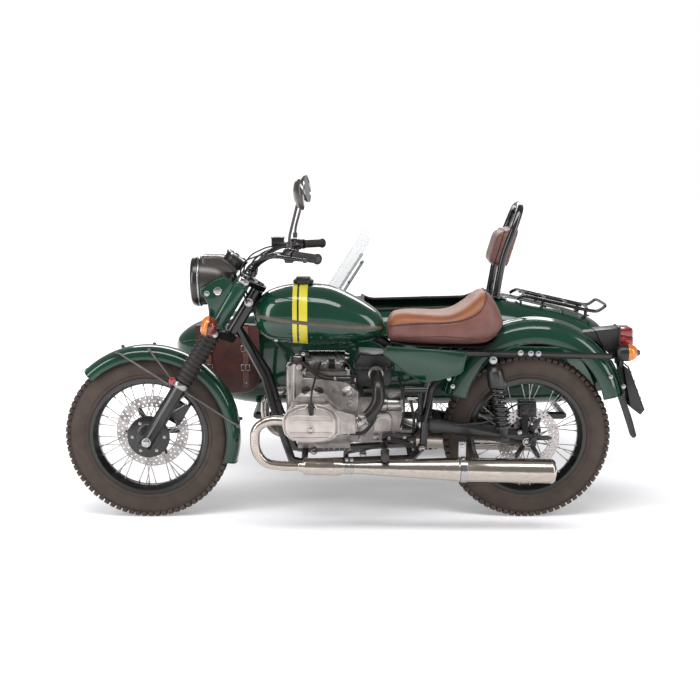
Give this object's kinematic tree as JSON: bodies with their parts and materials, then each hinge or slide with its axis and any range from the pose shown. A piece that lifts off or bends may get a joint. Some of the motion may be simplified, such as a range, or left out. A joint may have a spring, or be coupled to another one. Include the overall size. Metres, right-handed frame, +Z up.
{
  "type": "sidecar motorcycle",
  "caption": "Classic flat-twin touring motorcycle with a sprung sidecar, spoked wheels, telescopic fork, swinging rear arm, leather saddle and luggage rack.",
  "frame": {"origin": "on the ground, under the middle of the whole machine's box", "axes": "+Z up, -X towards the front wheel, -Y towards the motorcycle's left side, the sidecar on +Y"},
  "size_m": [2.387, 1.6576, 1.4125],
  "materials": {
    "paint_green": "gloss",
    "paint_black": "satin",
    "cast_alloy": "satin",
    "stainless": "polished",
    "black_plastic": "satin",
    "leather_brown": "satin",
    "lens_red": "gloss",
    "lens_orange": "gloss",
    "black_rubber": "matte",
    "tyre_rubber": "matte",
    "wheel_metal": "satin",
    "clear_sheet": "gloss"
  },
  "bodies": {
    "chassis": {"main_frame": "paint_black", "engine_block": "cast_alloy", "cylinder_left": "cast_alloy", "cylinder_right": "cast_alloy", "valve_cover_left": "cast_alloy", "valve_cover_right": "cast_alloy", "dynamo": "cast_alloy", "air_intake": "black_plastic", "exhaust_left": "stainless", "exhaust_right": "stainless", "fuel_tank": "paint_green", "saddle": "leather_brown", "side_panel_left": "paint_green", "side_panel_right": "paint_green", "rear_mudguard": "paint_green", "plate_bracket": "black_plastic", "tail_lamp": "lens_red", "sidecar_body": "paint_green", "roll_hoop": "paint_black", "head_pad": "leather_brown", "windshield": "clear_sheet", "sidecar_seat": "leather_brown", "side_bag": "leather_brown", "sidecar_mudguard": "paint_green", "sidecar_chassis": "paint_black", "sidecar_damper": "paint_black"},
    "fuel_cap": {"fuel_cap": "black_plastic"},
    "steering": {"fork_crown": "paint_black", "fork_cover_left": "paint_green", "fork_cover_right": "paint_green", "headlamp": "black_plastic", "speedometer": "black_plastic", "handlebar": "paint_black", "front_indicator": "lens_orange"},
    "throttle_grip": {"throttle_grip": "black_rubber"},
    "clutch_lever": {"clutch_lever": "paint_black"},
    "brake_lever": {"brake_lever": "paint_black"},
    "mirror_left": {"mirror_left": "black_plastic"},
    "mirror_right": {"mirror_right": "black_plastic"},
    "fork_lowers": {"fork_lowers": "cast_alloy", "gaiter_left": "black_rubber", "gaiter_right": "black_rubber", "front_mudguard": "paint_green"},
    "front_wheel": {"front_tyre": "tyre_rubber", "front_wheel": "wheel_metal"},
    "swinging_arm": {"swinging_arm": "paint_black"},
    "rear_wheel": {"rear_tyre": "tyre_rubber", "rear_wheel": "wheel_metal"},
    "damper_upper_left": {"damper_upper_left": "paint_black"},
    "damper_lower_left": {"damper_lower_left": "paint_black"},
    "damper_upper_right": {"damper_upper_right": "paint_black"},
    "damper_lower_right": {"damper_lower_right": "paint_black"},
    "sidecar_arm": {"sidecar_arm": "paint_black"},
    "sidecar_wheel": {"sidecar_tyre": "tyre_rubber", "sidecar_wheel": "wheel_metal"},
    "trunk_lid": {"trunk_lid": "paint_green", "luggage_rack": "paint_black"},
    "kickstarter": {"kickstarter": "paint_black"},
    "gear_pedal": {"gear_pedal": "paint_black"}
  },
  "joints": [
    {"name": "steering_turn", "type": "hinge", "parent": "chassis", "child": "steering", "pos_m": [-0.44891, -0.37575, 0.86144], "axis": [0.521, 0, 0.8536], "range_deg": [-30, 30]},
    {"name": "fork_slide", "type": "slide", "parent": "steering", "child": "fork_lowers", "axis": [0.521, 0, 0.8536], "range_m": [0, 0.11], "stiffness_N_per_m": 20000, "springref_m": -0.085, "deforming": ["gaiter_left", "gaiter_right"]},
    {"name": "front_wheel_spin", "type": "hinge", "parent": "fork_lowers", "child": "front_wheel", "pos_m": [-0.8485, -0.37575, 0.345], "axis": [0, 1, 0], "continuous": true},
    {"name": "swinging_arm_rise", "type": "hinge", "parent": "chassis", "child": "swinging_arm", "pos_m": [0.2855, -0.37575, 0.412], "axis": [0, -1, 0], "range_deg": [0, 11], "stiffness_Nm_per_rad": 4500, "springref_deg": -15.47},
    {"name": "rear_wheel_spin", "type": "hinge", "parent": "swinging_arm", "child": "rear_wheel", "pos_m": [0.7225, -0.37575, 0.345], "axis": [0, 1, 0], "continuous": true},
    {"name": "damper_tilt_left", "type": "hinge", "parent": "chassis", "child": "damper_upper_left", "pos_m": [0.5605, -0.54075, 0.69], "axis": [0, -1, 0], "range_deg": [0, 2.98]},
    {"name": "damper_slide_left", "type": "slide", "parent": "damper_upper_left", "child": "damper_lower_left", "axis": [-0.1644, 0, 0.9864], "range_m": [0, 0.063], "deforming": ["damper_lower_left"]},
    {"name": "damper_tilt_right", "type": "hinge", "parent": "chassis", "child": "damper_upper_right", "pos_m": [0.5605, -0.21075, 0.69], "axis": [0, -1, 0], "range_deg": [0, 2.98]},
    {"name": "damper_slide_right", "type": "slide", "parent": "damper_upper_right", "child": "damper_lower_right", "axis": [-0.1644, 0, 0.9864], "range_m": [0, 0.063], "deforming": ["damper_lower_right"]},
    {"name": "sidecar_arm_rise", "type": "hinge", "parent": "chassis", "child": "sidecar_arm", "pos_m": [0.1175, 0.66025, 0.316], "axis": [0, -1, 0], "range_deg": [0, 14], "stiffness_Nm_per_rad": 1800, "springref_deg": -14.32, "deforming": ["sidecar_damper"]},
    {"name": "sidecar_wheel_spin", "type": "hinge", "parent": "sidecar_arm", "child": "sidecar_wheel", "pos_m": [0.3725, 0.75425, 0.345], "axis": [0, 1, 0], "continuous": true},
    {"name": "trunk_lid_open", "type": "hinge", "parent": "chassis", "child": "trunk_lid", "pos_m": [0.7085, 0.32625, 0.85], "axis": [0, -1, 0], "range_deg": [0, 60]},
    {"name": "kickstarter_swing", "type": "hinge", "parent": "chassis", "child": "kickstarter", "pos_m": [0.2685, -0.49375, 0.463], "axis": [1, 0, 0], "range_deg": [0, 58], "stiffness_Nm_per_rad": 4, "springref_deg": -28.65},
    {"name": "gear_pedal_tip", "type": "hinge", "parent": "chassis", "child": "gear_pedal", "pos_m": [0.1265, -0.52775, 0.335], "axis": [0, 1, 0], "range_deg": [-8, 8], "stiffness_Nm_per_rad": 12},
    {"name": "clutch_lever_pull", "type": "hinge", "parent": "steering", "child": "clutch_lever", "pos_m": [-0.2925, -0.65975, 1.117], "axis": [0, 0, 1], "range_deg": [0, 11], "stiffness_Nm_per_rad": 2, "springref_deg": -17.19},
    {"name": "brake_lever_pull", "type": "hinge", "parent": "steering", "child": "brake_lever", "pos_m": [-0.2925, -0.09175, 1.117], "axis": [0, 0, -1], "range_deg": [0, 11], "stiffness_Nm_per_rad": 2, "springref_deg": -17.19},
    {"name": "throttle_twist", "type": "hinge", "parent": "steering", "child": "throttle_grip", "pos_m": [-0.2245, -0.09075, 1.118], "axis": [0.6454, 0.7634, -0.0278], "range_deg": [0, 75], "stiffness_Nm_per_rad": 0.3, "springref_deg": -22.92},
    {"name": "mirror_swivel_left", "type": "hinge", "parent": "steering", "child": "mirror_left", "pos_m": [-0.2485, -0.63775, 1.147], "axis": [0, 0, 1], "range_deg": [-25, 25]},
    {"name": "mirror_swivel_right", "type": "hinge", "parent": "steering", "child": "mirror_right", "pos_m": [-0.2485, -0.11375, 1.147], "axis": [0, 0, 1], "range_deg": [-25, 25]},
    {"name": "fuel_cap_turn", "type": "hinge", "parent": "chassis", "child": "fuel_cap", "pos_m": [-0.2035, -0.37575, 0.978], "axis": [0, 0, 1], "range_deg": [0, 90]}
  ],
  "couplings": [
    {"joint": "damper_tilt_left", "follows": "swinging_arm_rise", "ratio": 0.25722},
    {"joint": "damper_slide_left", "follows": "swinging_arm_rise", "m_per_rad": 0.32284},
    {"joint": "damper_tilt_right", "follows": "swinging_arm_rise", "ratio": 0.25722},
    {"joint": "damper_slide_right", "follows": "swinging_arm_rise", "m_per_rad": 0.32284}
  ]
}
